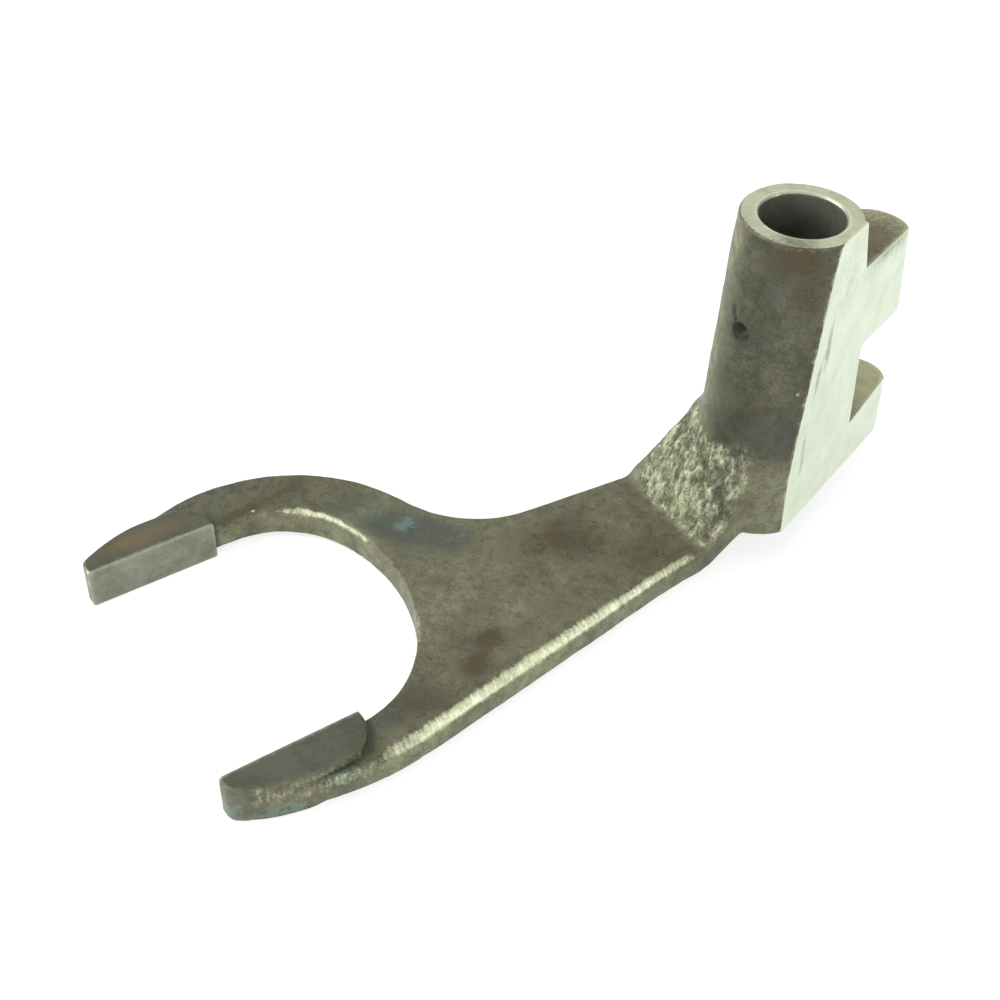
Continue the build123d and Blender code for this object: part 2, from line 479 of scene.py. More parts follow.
@dataclass(frozen=True)
class ForgedSkin:
    """Old forging scale: olive grey, mottled, rusty in spots, bright from rubbing and a painted
    highlight on its edges, with painted light and shade by region and in its hollows.
    """

    name: str = "forged_skin"
    dark: str = "424235"
    middle: str = "6a6a53"
    light: str = "969a7b"
    rubbed_sheen: str = "c3c7a6"
    glint: str = "e9ecce"
    rust: str = "4e4330"
    soot: str = "4a4e48"
    bloom: str = "64857a"
    pitted: str = "2f2f28"
    metallic: float = 0.55

    def mottle_and_light(self, sheet: NodeSheet, place: object) -> tuple[Socket, Socket, Socket]:
        """Mixes three sizes of cloud with the regional lightening and darkening, part of it painted
        light and shade.

        Args:
            sheet: The node tree.
            place: The coordinates, in millimetres.

        Returns:
            The mottling with its painted light and shade, the blotches of a few millimetres and the
            fine grain.
        """
        broad = sheet.grain(place, 0.09, 4, 0.6, 0.5)
        blotch = sheet.grain(place, 0.45, 6, 0.68, 0.4)
        fine = sheet.grain(place, 2.2, 4, 0.72)
        clouds = sheet.total((broad, 0.26), (blotch, 0.38), (fine, 0.36), (sheet.mask("tone_and_light"), 1))
        return clouds, blotch, fine

    def stained(self, sheet: NodeSheet, channel: str, ragged: object, most: float) -> Socket:
        """Breaks a stain's soft outline up.

        Args:
            sheet: The node tree.
            channel: The stain's vertex channel.
            ragged: Noise about 0 that tears its edge.
            most: How strongly it covers.

        Returns:
            The stain's cover, 0 to 1.
        """
        torn = sheet.total((sheet.mask(channel), 1), (ragged, 4.0))
        shown = sheet.span(torn, 0.22, 0.66, 0.0, most)
        return sheet.maths("MULTIPLY", shown, sheet.span(sheet.mask(channel), 0.04, 0.22))

    def dirtied_and_shaded(self, sheet: NodeSheet, mottle_and_light: object, ragged: object) -> tuple[Socket, Socket]:
        """Colours the scale, lays rust, soot and bloom on it, and paints shade into the hollows.

        Args:
            sheet: The node tree.
            mottle_and_light: The mottling, with its painted light and shade.
            ragged: Noise about 0 that tears the stains' edges.

        Returns:
            The colour and the rust's cover.
        """
        rusty = self.stained(sheet, "rust", ragged, 0.85)
        colour = steel(self.dark)
        for cover, code in (
            (sheet.span(mottle_and_light, 0.33, 0.55), self.middle),
            (sheet.span(mottle_and_light, 0.50, 0.68), self.light),
            (sheet.span(ragged, 0.02, 0.17, 0.0, 0.50), self.rust),
            (sheet.span(ragged, -0.20, -0.02, 0.42, 0.0), self.soot),
            (rusty, self.rust),
            (self.stained(sheet, "soot", ragged, 0.80), self.soot),
            (self.stained(sheet, "bloom", ragged, 0.62), self.bloom),
            # Painted shade: concave corners, hammer dents and the pin hole's rim darkened.
            (sheet.span(sheet.mask("hollow_shade"), 0.05, 0.9, 0.0, 0.80), self.dark),
        ):
            colour = sheet.blend(cover, colour, steel(code))
        return colour, rusty

    def polished_and_lit(
        self, sheet: NodeSheet, place: object, colour: object, ragged: object
    ) -> tuple[Socket, Socket]:
        """Brightens the edges from rubbing, with a painted highlight and glint, in short strokes
        across them.

        Args:
            sheet: The node tree.
            place: The coordinates, in millimetres.
            colour: The colour below.
            ragged: Noise about 0 that tears the rubbing's edge.

        Returns:
            The colour and the cover of rubbing and painted highlight.
        """
        hatch = sheet.grain(sheet.vector("MULTIPLY", place, (1.5, 0.35, 0.35)), 1.0, 3, 0.6)
        torn = sheet.total((ragged, 1), (sheet.maths("SUBTRACT", hatch, 0.5), 0.6))
        scuff_and_sheen = sheet.total((sheet.mask("wear_and_sheen"), 1), (torn, 1.5))
        rub_and_sheen = sheet.span(scuff_and_sheen, 0.18, 0.85, 0.0, 0.92)
        rub_and_sheen = sheet.maths("MULTIPLY", rub_and_sheen, sheet.span(sheet.mask("wear_and_sheen"), 0.03, 0.2))
        # Edge brightening and glint: rubbing with a painted highlight.
        for cover, code in (
            (rub_and_sheen, self.rubbed_sheen),
            (sheet.span(scuff_and_sheen, 0.74, 1.10, 0.0, 0.9), self.glint),
            (sheet.span(sheet.mask("bright"), 0.35, 0.8, 0.0, 0.85), self.rubbed_sheen),
        ):
            colour = sheet.blend(cover, colour, steel(code))
        return colour, rub_and_sheen

    def dents(
        self, sheet: NodeSheet, place: object, blotch: object
    ) -> tuple[Socket, Socket, Socket]:
        """Places the hammer marks, with painted shade in their grooves, the pits and the scratches.

        Args:
            sheet: The node tree.
            place: The coordinates, in millimetres.
            blotch: The blotches, where the pits gather.

        Returns:
            The three covers, 0 to 1.
        """
        chop = sheet.grain(sheet.vector("MULTIPLY", place, (0.55, 1.5, 0.55)), 1.0, 3, 0.62, 0.6)
        # Hammer strokes darkened: painted shade in their grooves.
        chop_shade = sheet.span(chop, 0.36, 0.50, 1.0, 0.0)
        chop_shade = sheet.maths("MULTIPLY", chop_shade, sheet.mask("hammer"))
        pit = sheet.span(sheet.cells(place, 0.62), 0.06, 0.20, 1.0, 0.0)
        pit = sheet.maths("MULTIPLY", pit, sheet.span(blotch, 0.46, 0.56))
        return chop_shade, pit, sheet.span(sheet.mask("scratch"), 0.35, 0.8)

    def material(self) -> bpy.types.Material:
        """Builds the node material.

        Returns:
            The finished material.
        """
        sheet = NodeSheet(self.name)
        place = sheet.millimetres()
        mottle_and_light, blotch, fine = self.mottle_and_light(sheet, place)
        ragged = sheet.total((blotch, 0.55), (fine, 0.45), shift=-0.5)
        colour, rusty = self.dirtied_and_shaded(sheet, mottle_and_light, ragged)
        colour, rub_and_sheen = self.polished_and_lit(sheet, place, colour, ragged)
        chop_shade, pit, gouge = self.dents(sheet, place, blotch)
        for cover, most, code in (
            (chop_shade, 0.58, self.dark),
            (pit, 0.55, self.pitted),
            (gouge, 0.9, self.pitted),
        ):
            colour = sheet.blend(sheet.maths("MULTIPLY", cover, most), colour, steel(code))
        rough = sheet.total((sheet.span(fine, 0.3, 0.7, 0.42, 0.62), 1), (rub_and_sheen, -0.12), (rusty, 0.2))
        dips = sheet.total((pit, 0.8), (gouge, 1), (chop_shade, 1.5))
        normal = sheet.relief(blotch, 0.16)
        normal = sheet.relief(sheet.maths("SUBTRACT", fine, dips), 0.09, normal)
        normal = sheet.relief(sheet.grain(place, 4.5, 2, 0.6), 0.03, normal)
        return sheet.finish(colour, rough, self.metallic, normal)


@dataclass(frozen=True)
class CutSteel:
    """A milled, turned or ground face with its tool marks."""

    name: str
    lay: Lay
    base: str
    shade: str
    stain: str
    rubbed_sheen: str
    metallic: float
    dull: float
    clouds: float
    marks: float = 0.012
    bloom: str = "64857a"

    def marks_place(self, sheet: NodeSheet, place: object) -> Socket:
        """Stretches the coordinates along the tool marks.

        Args:
            sheet: The node tree.
            place: The coordinates, in millimetres.

        Returns:
            The coordinates that the marks' noise reads.
        """
        if self.lay is Lay.RINGS:
            radius = sheet.vector("LENGTH", sheet.vector("MULTIPLY", place, (1.0, 1.0, 0.0)))
            joined = add_node(sheet.tree, "CombineXYZ")
            sheet.feed(joined.inputs["X"], sheet.maths("MULTIPLY", radius, 4.0))
            return joined.outputs["Vector"]
        stretch = {
            Lay.ALONG_BOSS: (3.2, 3.2, 0.12),
            Lay.ALONG_TINES: (0.14, 3.4, 3.4),
            Lay.NO_WAY: (2.6, 2.6, 2.6),
        }
        return sheet.vector("MULTIPLY", place, stretch[self.lay])

    def material(self) -> bpy.types.Material:
        """Builds the node material.

        Returns:
            The finished material.
        """
        sheet = NodeSheet(self.name)
        place = sheet.millimetres()
        cloud = sheet.grain(place, 0.16, 4, 0.6, 0.3)
        blotch = sheet.grain(place, 0.9, 4, 0.65)
        scratches = sheet.grain(self.marks_place(sheet, place), 1.0, 3, 0.6)
        ragged = sheet.maths("MULTIPLY", sheet.total((blotch, 1), (scratches, 1), shift=-1.0), 0.9)
        rusted = sheet.maths("MULTIPLY", sheet.mask("rust"), 0.9)
        marked = sheet.maths("MAXIMUM", sheet.mask("smear"), rusted)
        stained = sheet.span(sheet.maths("ADD", marked, ragged), 0.15, 0.95, 0.0, 0.72)
        stained = sheet.maths("MULTIPLY", stained, sheet.span(marked, 0.03, 0.2))
        tarnished = sheet.total((cloud, 0.7), (blotch, 0.3))
        bloomed = sheet.maths("ADD", sheet.mask("bloom"), ragged)
        # Edges lighter: rubbing with a painted highlight.
        rubbed_sheen = sheet.total((sheet.mask("wear_and_sheen"), 1), (ragged, 0.5))
        colour = steel(self.base)
        for cover, code in (
            (sheet.span(tarnished, 0.36, 0.68, 0.0, self.clouds), self.shade),
            (sheet.span(scratches, 0.42, 0.66, 0.0, 0.30), self.shade),
            (stained, self.stain),
            (sheet.span(bloomed, 0.30, 1.0, 0.0, 0.6), self.bloom),
            (sheet.span(rubbed_sheen, 0.20, 0.80, 0.0, 0.85), self.rubbed_sheen),
        ):
            colour = sheet.blend(cover, colour, steel(code))
        uneven = sheet.total((cloud, 0.5), (scratches, 0.5))
        rough = sheet.span(uneven, 0.3, 0.7, self.dull - 0.06, self.dull + 0.12)
        rough = sheet.total((rough, 1), (stained, 0.2))
        normal = sheet.relief(scratches, self.marks)
        normal = sheet.relief(blotch, self.marks * 0.8, normal)
        return sheet.finish(colour, rough, self.metallic, normal)


FINISHES: dict[Face, ForgedSkin | CutSteel] = {
    Face.FORGED: ForgedSkin(),
    Face.FLAT: CutSteel(
        "milled_flat", Lay.ALONG_BOSS, metallic=0.75, dull=0.32, clouds=0.5,
        base="dde8d2", shade="c6d3ba", stain="858e79", rubbed_sheen="e4eed8",
    ),
    Face.RING: CutSteel(
        "turned_ring", Lay.RINGS, metallic=0.8, dull=0.34, clouds=0.7,
        base="cdd2b3", shade="9ea287", stain="5b5443", rubbed_sheen="e8eecb",
    ),
    Face.BORE: CutSteel(
        "bore_wall", Lay.RINGS, metallic=0.7, dull=0.36, clouds=0.8,
        base="8f9183", shade="63655a", stain="4a4036", rubbed_sheen="b4b9a0",
    ),
    Face.PAD: CutSteel(
        "ground_pad", Lay.ALONG_TINES, metallic=0.6, dull=0.40, clouds=0.8,
        base="8a8c7c", shade="66685a", stain="574a38", rubbed_sheen="a6a992",
    ),
    Face.PAD_TOP: CutSteel(
        "pad_top", Lay.ALONG_TINES, metallic=0.6, dull=0.42, clouds=0.8,
        base="5b5d4f", shade="434539", stain="7a6442", rubbed_sheen="a6a992",
    ),
    Face.LUG: CutSteel(
        "lug_top", Lay.NO_WAY, metallic=0.4, dull=0.45, clouds=0.6,
        base="a3a582", shade="7d7c60", stain="4e4230", rubbed_sheen="c0c4a6",
    ),
}


@dataclass
class DenseMesh:
    """A triangle mesh in millimetres that can be refined, softened and measured."""

    points: np.ndarray
    triangles: np.ndarray
    pairs: np.ndarray = field(init=False)
    sides: np.ndarray = field(init=False)

    def __post_init__(self) -> None:
        """Finds the edges of the first triangles."""
        self.find_edges()

    @classmethod
    def of_node(cls, node: bpy.types.Object, detail: "Detail") -> "DenseMesh":
        """Reads the CAD node and lays an even mesh over each flat face.

        Args:
            node: The CAD node.
            detail: How short the edges are, and where.

        Returns:
            The node's surface in small triangles of much the same size.
        """
        work = bmesh.new()
        work.from_mesh(node.data)
        bmesh.ops.remove_doubles(work, verts=work.verts[:], dist=detail.same_point * MM)
        join = math.radians(detail.flat_angle)
        bmesh.ops.dissolve_limit(work, angle_limit=join, verts=work.verts[:], edges=work.edges[:])
        detail.cut_edges(work)
        work.verts.index_update()
        points = [np.array([v.co[:] for v in work.verts]) / MM]
        triangles, filled, count = [], [], len(work.verts)
        for face in work.faces:
            if face.calc_area() < detail.least_area * MM * MM:
                continue
            fresh, parts = detail.fill(face)
            if not len(parts):
                continue
            numbers = [v.index for v in face.verts] + list(range(count, count + len(fresh)))
            points.append(fresh)
            triangles.append(np.array(numbers)[parts])
            filled.append(face)
            count += len(fresh)
        bmesh.ops.delete(work, geom=filled, context="FACES_ONLY")
        bmesh.ops.triangulate(work, faces=work.faces[:], quad_method="BEAUTY", ngon_method="BEAUTY")
        triangles.append(np.array([[v.index for v in f.verts] for f in work.faces]))
        work.free()
        return cls(np.concatenate(points), np.concatenate(triangles))

    def find_edges(self) -> None:
        """Notes each edge's pair of vertices, and each triangle's three sides by edge number."""
        pairs = np.sort(self.triangles[:, [0, 1, 1, 2, 2, 0]].reshape(-1, 2), axis=1)
        count = len(self.points)
        keys, which = np.unique(pairs[:, 0] * count + pairs[:, 1], return_inverse=True)
        self.pairs = np.stack([keys // count, keys % count], axis=1)
        self.sides = which.reshape(-1, 3)

    def face_normals(self) -> np.ndarray:
        """Gives each triangle's normal, as long as twice its area."""
        a, b, c = (self.points[self.triangles[:, i]] for i in range(3))
        return np.cross(b - a, c - a)

    def normals(self) -> np.ndarray:
        """Gives each vertex's area-weighted unit normal.

        Returns:
            One unit vector a vertex.
        """
        total = np.zeros_like(self.points)
        facing = self.face_normals()
        for corner in self.triangles.T:
            for axis in range(3):
                total[:, axis] += np.bincount(corner, facing[:, axis], len(self.points))
        return unit(total)

    def creases(self) -> np.ndarray:
        """Finds the edges whose two faces meet at more than the crease angle.

        Returns:
            True for each edge that is a crease.
        """
        facing = unit(self.face_normals())
        order = np.argsort(self.sides.ravel(), kind="stable")
        owners = np.repeat(np.arange(len(self.sides)), 3)[order].reshape(-1, 2)
        bend = (facing[owners[:, 0]] * facing[owners[:, 1]]).sum(axis=1)
        return bend < math.cos(math.radians(CREASE_ANGLE))

    def refine(self, target: "Detail") -> None:
        """Halves long edges, longest first, until all are as short as asked.

        Args:
            target: How long an edge may be, and where.
        """
        for _ in range(target.most_rounds):
            ends = self.points[self.pairs]
            length = np.linalg.norm(ends[:, 0] - ends[:, 1], axis=1)
            middle = ends.mean(axis=1)
            crease_points = np.zeros(len(self.points), bool)
            crease_points[self.pairs[self.creases()].ravel()] = True
            at_crease = crease_points[self.pairs].any(axis=1)
            marked = length > target.slack * target.longest(middle, at_crease)
            if not marked.any():
                return
            rows = np.arange(len(self.sides))
            longest = self.sides[rows, length[self.sides].argmax(axis=1)]
            while True:
                hit = marked[self.sides].any(axis=1) & ~marked[longest]
                if not hit.any():
                    break
                marked[longest[hit]] = True
            self.split(marked, length, middle)

    def split(self, marked: np.ndarray, length: np.ndarray, middle: np.ndarray) -> None:
        """Splits the marked edges at their middles.

        Args:
            marked: Which edges are split.
            length: The edges' lengths.
            middle: The edges' middles.
        """
        fresh = np.full(len(marked), -1)
        fresh[marked] = len(self.points) + np.arange(marked.sum())
        turn = length[self.sides].argmax(axis=1)
        rows = np.arange(len(self.sides))[:, None]
        spin = (turn[:, None] + np.arange(3)) % 3
        corner = self.triangles[rows, spin]
        cut = fresh[self.sides[rows, spin]]
        a, b, c = corner.T
        m, n, k = cut.T
        whole, has_n, has_k = m < 0, n >= 0, k >= 0
        near, far = ~whole & has_k, ~whole & has_n
        parts = [
            self.triangles[whole],
            np.stack([a, m, c], 1)[~whole & ~has_k],
            np.stack([a, m, k], 1)[near],
            np.stack([m, c, k], 1)[near],
            np.stack([m, b, c], 1)[~whole & ~has_n],
            np.stack([m, b, n], 1)[far],
            np.stack([m, n, c], 1)[far],
        ]
        self.triangles = np.concatenate(parts)
        self.points = np.concatenate([self.points, middle[marked]])
        self.find_edges()

    def around(self, values: np.ndarray) -> np.ndarray:
        """Averages each vertex's neighbours.

        Args:
            values: One number or vector a vertex.

        Returns:
            The neighbours' mean, in the same form.
        """
        columns = values.reshape(len(values), -1)
        first, second = self.pairs.T
        count = np.bincount(self.pairs.ravel(), minlength=len(values))
        mean = np.empty_like(columns)
        for i in range(columns.shape[1]):
            mean[:, i] = np.bincount(first, columns[second, i], len(values))
            mean[:, i] += np.bincount(second, columns[first, i], len(values))
            mean[:, i] /= count
        return mean.reshape(values.shape)

    def spread(self, values: np.ndarray, rounds: int) -> np.ndarray:
        """Lets numbers bleed into their neighbourhood.

        Args:
            values: One number or vector a vertex.
            rounds: How many steps it bleeds.

        Returns:
            The softened values.
        """
        for _ in range(rounds):
            values = 0.5 * (values + self.around(values))
        return values

    def soften(self, weight: np.ndarray, rounds: int) -> None:
        """Rounds the surface over where the weight is high.

        Args:
            weight: From 0, left alone, to 1, fully rounded.
            rounds: How far the rounding goes.
        """
        for _ in range(rounds):
            self.points += 0.5 * weight[:, None] * (self.around(self.points) - self.points)

    def bulge(self, rounds: int) -> np.ndarray:
        """Measures how far each vertex stands out of its softened surroundings.

        Args:
            rounds: How wide the surroundings are.

        Returns:
            Millimetres, positive on outer edges and negative in corners.
        """
        away = self.points - self.spread(self.points, rounds)
        return (away * self.normals()).sum(axis=1)


@dataclass(frozen=True)
class Detail:
    """How short the edges of the dressed mesh are, in millimetres."""

    broad: float = 0.95
    crease: float = 0.6
    hammered: float = 0.5
    slack: float = 1.5
    flat_angle: float = 0.3
    least_area: float = 0.05
    same_point: float = 0.001
    most_rounds: int = 16
    grid_share: float = 0.9
    row_step: float = 0.866
    clear_of_edge: float = 0.5
    fill_slack: float = 1e-6
    rough_low: tuple[float, float, float] = (3, -19, -1)
    rough_high: tuple[float, float, float] = (24, 10, 29)

    def longest(self, places: np.ndarray, at_crease: np.ndarray) -> np.ndarray:
        """Gives the longest edge allowed at each place.

        Args:
            places: The edges' middles.
            at_crease: Which edges touch a crease.

        Returns:
            One length an edge.
        """
        size = np.where(at_crease, self.crease, self.broad)
        rough = ((places > self.rough_low) & (places < self.rough_high)).all(axis=1)
        return np.where(rough, np.minimum(size, self.hammered), size)

    def cut_edges(self, work: bmesh.types.BMesh) -> None:
        """Cuts every edge into short, equal lengths.

        Args:
            work: The mesh of large flat faces.
        """
        edges = list(work.edges)
        middle = np.array([((e.verts[0].co + e.verts[1].co) / 2)[:] for e in edges]) / MM
        sharp = np.array([e.calc_face_angle(0.0) > math.radians(CREASE_ANGLE) for e in edges])
        length = np.array([e.calc_length() for e in edges]) / MM
        parts = np.ceil(length / self.longest(middle, sharp)).astype(int)
        for edge, count in zip(edges, parts):
            vertex, far = edge.verts
            for left in range(count, 1, -1):
                fresh, vertex = bmesh.utils.edge_split(edge, vertex, 1 / left)
                edge = edge if far in edge.verts else fresh

    def fill(self, face: bmesh.types.BMFace) -> tuple[np.ndarray, np.ndarray]:
        """Fills a flat face with points on an even grid, joined into triangles.

        Args:
            face: The face, its edges already cut.

        Returns:
            The new points, and triangles that number the face's corners first.
        """
        corners = np.array([v.co[:] for v in face.verts]) / MM
        up = np.array(face.normal[:])
        helper = np.array([1.0, 0, 0]) if abs(up[0]) < 0.9 else np.array([0, 1.0, 0])
        across = np.cross(helper, up)
        across /= np.linalg.norm(across)
        basis = np.stack([across, np.cross(up, across)])
        outline = (corners - corners[0]) @ basis.T
        size = self.longest(corners.mean(axis=0)[None], np.array([False]))
        gap = self.grid_share * float(size[0])
        grid = self.grid_inside(outline, gap)
        places = [Vector(p) for p in np.concatenate([outline, grid])]
        border = list(range(len(outline)))
        made = delaunay_2d_cdt(places, [], [border], INSIDE_TRIANGLES, self.fill_slack)
        faces, origins = made[2], made[3]
        if any(len(origin) != 1 for origin in origins):
            return np.empty((0, 3)), np.empty((0, 3), int)
        triangles = np.array([[origins[i][0] for i in part] for part in faces])
        return corners[0] + grid @ basis, triangles

    def grid_inside(self, outline: np.ndarray, gap: float) -> np.ndarray:
        """Lays points on a triangular grid inside an outline.

        Args:
            outline: The outline's corners in the face's plane.
            gap: The distance between points.

        Returns:
            The points that are well inside.
        """
        low, high = outline.min(axis=0), outline.max(axis=0)
        rows = np.arange(low[1], high[1], gap * self.row_step)
        columns = np.arange(low[0], high[0], gap)
        x, y = np.meshgrid(columns, rows)
        x += (np.arange(len(rows)) % 2)[:, None] * gap / 2
        grid = np.stack([x.ravel(), y.ravel()], axis=1)
        ends = np.roll(outline, -1, axis=0)
        inside = np.zeros(len(grid), bool)
        nearest = np.full(len(grid), np.inf)
        for a, b in zip(outline, ends):
            step = b - a
            crosses = (a[1] > grid[:, 1]) != (b[1] > grid[:, 1])
            if crosses.any():
                at = a[0] + (grid[crosses, 1] - a[1]) * step[0] / step[1]
                inside[crosses] ^= grid[crosses, 0] < at
            along = np.clip(((grid - a) @ step) / max(step @ step, 1e-12), 0, 1)
            nearest = np.minimum(nearest, np.linalg.norm(grid - a - along[:, None] * step, axis=1))
        return grid[inside & (nearest > self.clear_of_edge * gap)]


@dataclass
class ShiftFork:
    """The forging itself. Sizes are in millimetres, in the frame of the rail bore."""

    flat_angle: float = 109.0
    flat_offset: float = 10.5
    bore_r: float = 8.0
    boss_r: float = 13.5
    boss_h: float = 66.8
    pin_r: float = 2.0
    pin_z: float = 46.2
    pin_angle: float = 4.5
    gap_centre_y: float = -20.7
    pad_gap: float = 57.6
    pad_root_x: float = 99.2
    pad_top_z: float = 2.0
    pad_low_z: float = -7.0
    plate_low_z: float = -6.0
    gap_middle_x: float = 105.0
    lug_from: float = 9.0
    face_slack: float = 0.05
    sharp_angle: float = 38.0
    skin_wave: float = 0.10
    wave_scale: float = 0.13
    skin_grit: float = 0.06
    grit_scale: float = 0.55
    hammer_depth: float = 0.18
    near_roll: float = 2.7
    throat_roll: float = 1.8
    wall_points: int = 8
    edge_reach: int = 8
    corner_reach: int = 14
    wide_reach: int = 26
    calm_rounds: int = 60
    calm_back: float = -1.06

    def sort_faces(self, mesh: DenseMesh) -> np.ndarray:
        """Tells which kind of surface each triangle belongs to.

        Args:
            mesh: The refined mesh, before it is softened.

        Returns:
            One material place a triangle.
        """
        facing = unit(mesh.face_normals())
        x, y, z = mesh.points[mesh.triangles].mean(axis=1).T
        turn = math.radians(self.flat_angle)
        out = x * math.cos(turn) + y * math.sin(turn)
        along = -x * math.sin(turn) + y * math.cos(turn)
        out_facing = facing[:, 0] * math.cos(turn) + facing[:, 1] * math.sin(turn)
        radius = np.hypot(x, y)
        inward = (x * facing[:, 0] + y * facing[:, 1]) < -0.3 * radius
        slack = self.face_slack
        on_pad = x > self.pad_root_x
        off_gap = np.abs(np.abs(y - self.gap_centre_y) - self.pad_gap / 2)
        at_pad_height = (z > self.pad_top_z - slack) | (z < self.pad_low_z + slack)
        in_bore = (radius < self.bore_r + 0.35) & (inward | (radius < self.bore_r + 0.02))
        in_pin = self.beside_pin(x, y, z) < self.pin_r + slack
        kinds = np.full(len(x), Face.FORGED.value)
        for chosen, face in (
            ((along > self.lug_from) & (facing[:, 2] > 0.6) & (z > 3), Face.LUG),
            (on_pad & (np.abs(facing[:, 2]) > 0.97) & at_pad_height, Face.PAD_TOP),
            (on_pad & (off_gap < 0.1), Face.PAD),
            ((np.abs(out - self.flat_offset) < slack) & (out_facing > 0.97), Face.FLAT),
            ((z > self.boss_h - slack) & (facing[:, 2] > 0.9), Face.RING),
            (in_bore, Face.BORE),
            (in_pin & (x > self.bore_r - 1) & (x < self.boss_r + 0.5), Face.BORE),
        ):
            kinds[chosen] = face.value
        return kinds

    def beside_pin(self, x: np.ndarray, y: np.ndarray, z: np.ndarray) -> np.ndarray:
        """Measures how far places lie from the pin hole's axis.

        Args:
            x: Their X in millimetres.
            y: Their Y.
            z: Their Z.

        Returns:
            One distance a place.
        """
        turn = math.radians(self.pin_angle)
        return np.hypot(-x * math.sin(turn) + y * math.cos(turn), z - self.pin_z)

    def hammered(self, points: np.ndarray) -> np.ndarray:
        """Says where the gusset's hammered patch is.

        Args:
            points: Places in millimetres.

        Returns:
            From 0 to 1, one number a point.
        """
        x, y, z = points.T
        radius = np.hypot(x, y)
        patch = window(x, 4.0, 7.5, 17.0, 22.5) * window(y, -18.5, -13.5, 6.5, 9.5)
        return patch * window(z, -0.6, 0.8, 20.0, 26.0) * ease(radius, 12.6, 13.6)

    def tone_and_light(self, points: np.ndarray, facing: np.ndarray) -> np.ndarray:
        """Lightens or darkens the skin by region, and by which way it faces: painted reflection on
        the boss, painted shade on some upward faces and painted light on the walls.

        Args:
            points: Places in millimetres.
            facing: The vertices' normals.

        Returns:
            What is added to the skin's mottling.
        """
        x, y, z = points.T
        radius = np.hypot(x, y)
        # Painted reflection: the boss wall darker, and lighter where it turns towards -Y.
        boss = ease(radius, 15.5, 13.0) * ease(z, 16.0, 22.0) * ease(facing[:, 2], 0.9, 0.5)
        side = np.degrees(np.arctan2(y, x))
        tone_and_light = -0.095 * boss + 0.15 * boss * ease(side, 2.0, -28.0)
        tone_and_light += 0.05 * self.hammered(points)
        tone_and_light += 0.02 * ease(z, 17.0, 10.0) * ease(x, 14.0, 11.0)
        tone_and_light -= 0.05 * ease(x, 97, 101) * ease(y, 11, 13)
        tone_and_light -= 0.04 * ease(x, 62, 74) * ease(y, 0, 4) * ease(z, -2, -0.5)
        # Painted shade: upward faces of the plate darker in two regions.
        top = ease(facing[:, 2], 0.5, 0.9) * ease(z, 3.0, 1.0)
        tone_and_light -= 0.035 * top * ease(x, 62, 72) * ease(y, -38, -44)
        tone_and_light -= 0.020 * top * window(x, 20, 28, 38, 52)
        # Painted light: steep walls lighter from x = 20 on.
        tone_and_light += 0.06 * ease(np.abs(facing[:, 2]), 0.6, 0.3) * ease(x, 20, 30)
        return tone_and_light

    def dress(self) -> bpy.types.Object:
        """Builds the dressed fork over the CAD node.

        Returns:
            The finished piece.
        """
        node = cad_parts[NODE]
        detail = Detail()
        mesh = DenseMesh.of_node(node, detail)
        mesh.refine(detail)
        kinds = self.sort_faces(mesh)
        low, high = mesh.points.min(axis=0), mesh.points.max(axis=0)
        machined = np.zeros(len(mesh.points), bool)
        machined[mesh.triangles[kinds != Face.FORGED.value].ravel()] = True
        skin = 1.0 - mesh.spread(machined.astype(float), 2)
        skin = np.where(machined, 0.0, skin**2)
        rim = self.round_over(mesh, skin)
        wear_and_sheen, hollow_shade = self.wear_and_light(mesh, skin, rim)
        crest = self.roughen(mesh, skin)
        # Painted highlight on the hammer crests, painted shade in the dents.
        wear_and_sheen += 0.35 * np.maximum(crest, 0)
        hollow_shade = np.maximum(hollow_shade, 0.7 * np.maximum(-crest, 0))
        mesh.points = np.clip(mesh.points, low, high)
        piece = self.to_object(mesh, kinds)
        self.keep_channels(piece, mesh, wear_and_sheen, hollow_shade)
        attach(piece, "root")
        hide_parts(NODE)
        LOG.info("shift fork: %d triangles", len(mesh.triangles))
        return piece

    def keep_channels(
        self, piece: bpy.types.Object, mesh: DenseMesh, wear_and_sheen: np.ndarray, hollow_shade: np.ndarray
    ) -> None:
        """Keeps at each vertex what the finishes read there.

        Args:
            piece: The Blender piece.
            mesh: Its mesh.
            wear_and_sheen: Where it shines from rubbing and a painted highlight.
            hollow_shade: Where shade is painted into hollows.
        """
        channels = {"wear_and_sheen": wear_and_sheen, "hollow_shade": hollow_shade, "hammer": self.hammered(mesh.points)}
        channels["tone_and_light"] = self.tone_and_light(mesh.points, mesh.normals())
        for name, stains in STAINS.items():
            channels[name] = sum(stain.weight(mesh.points) for stain in stains)
        for name, values in channels.items():
            layer = piece.data.attributes.new(name, "FLOAT", "POINT")
            layer.data.foreach_set("value", values.astype(np.float32))

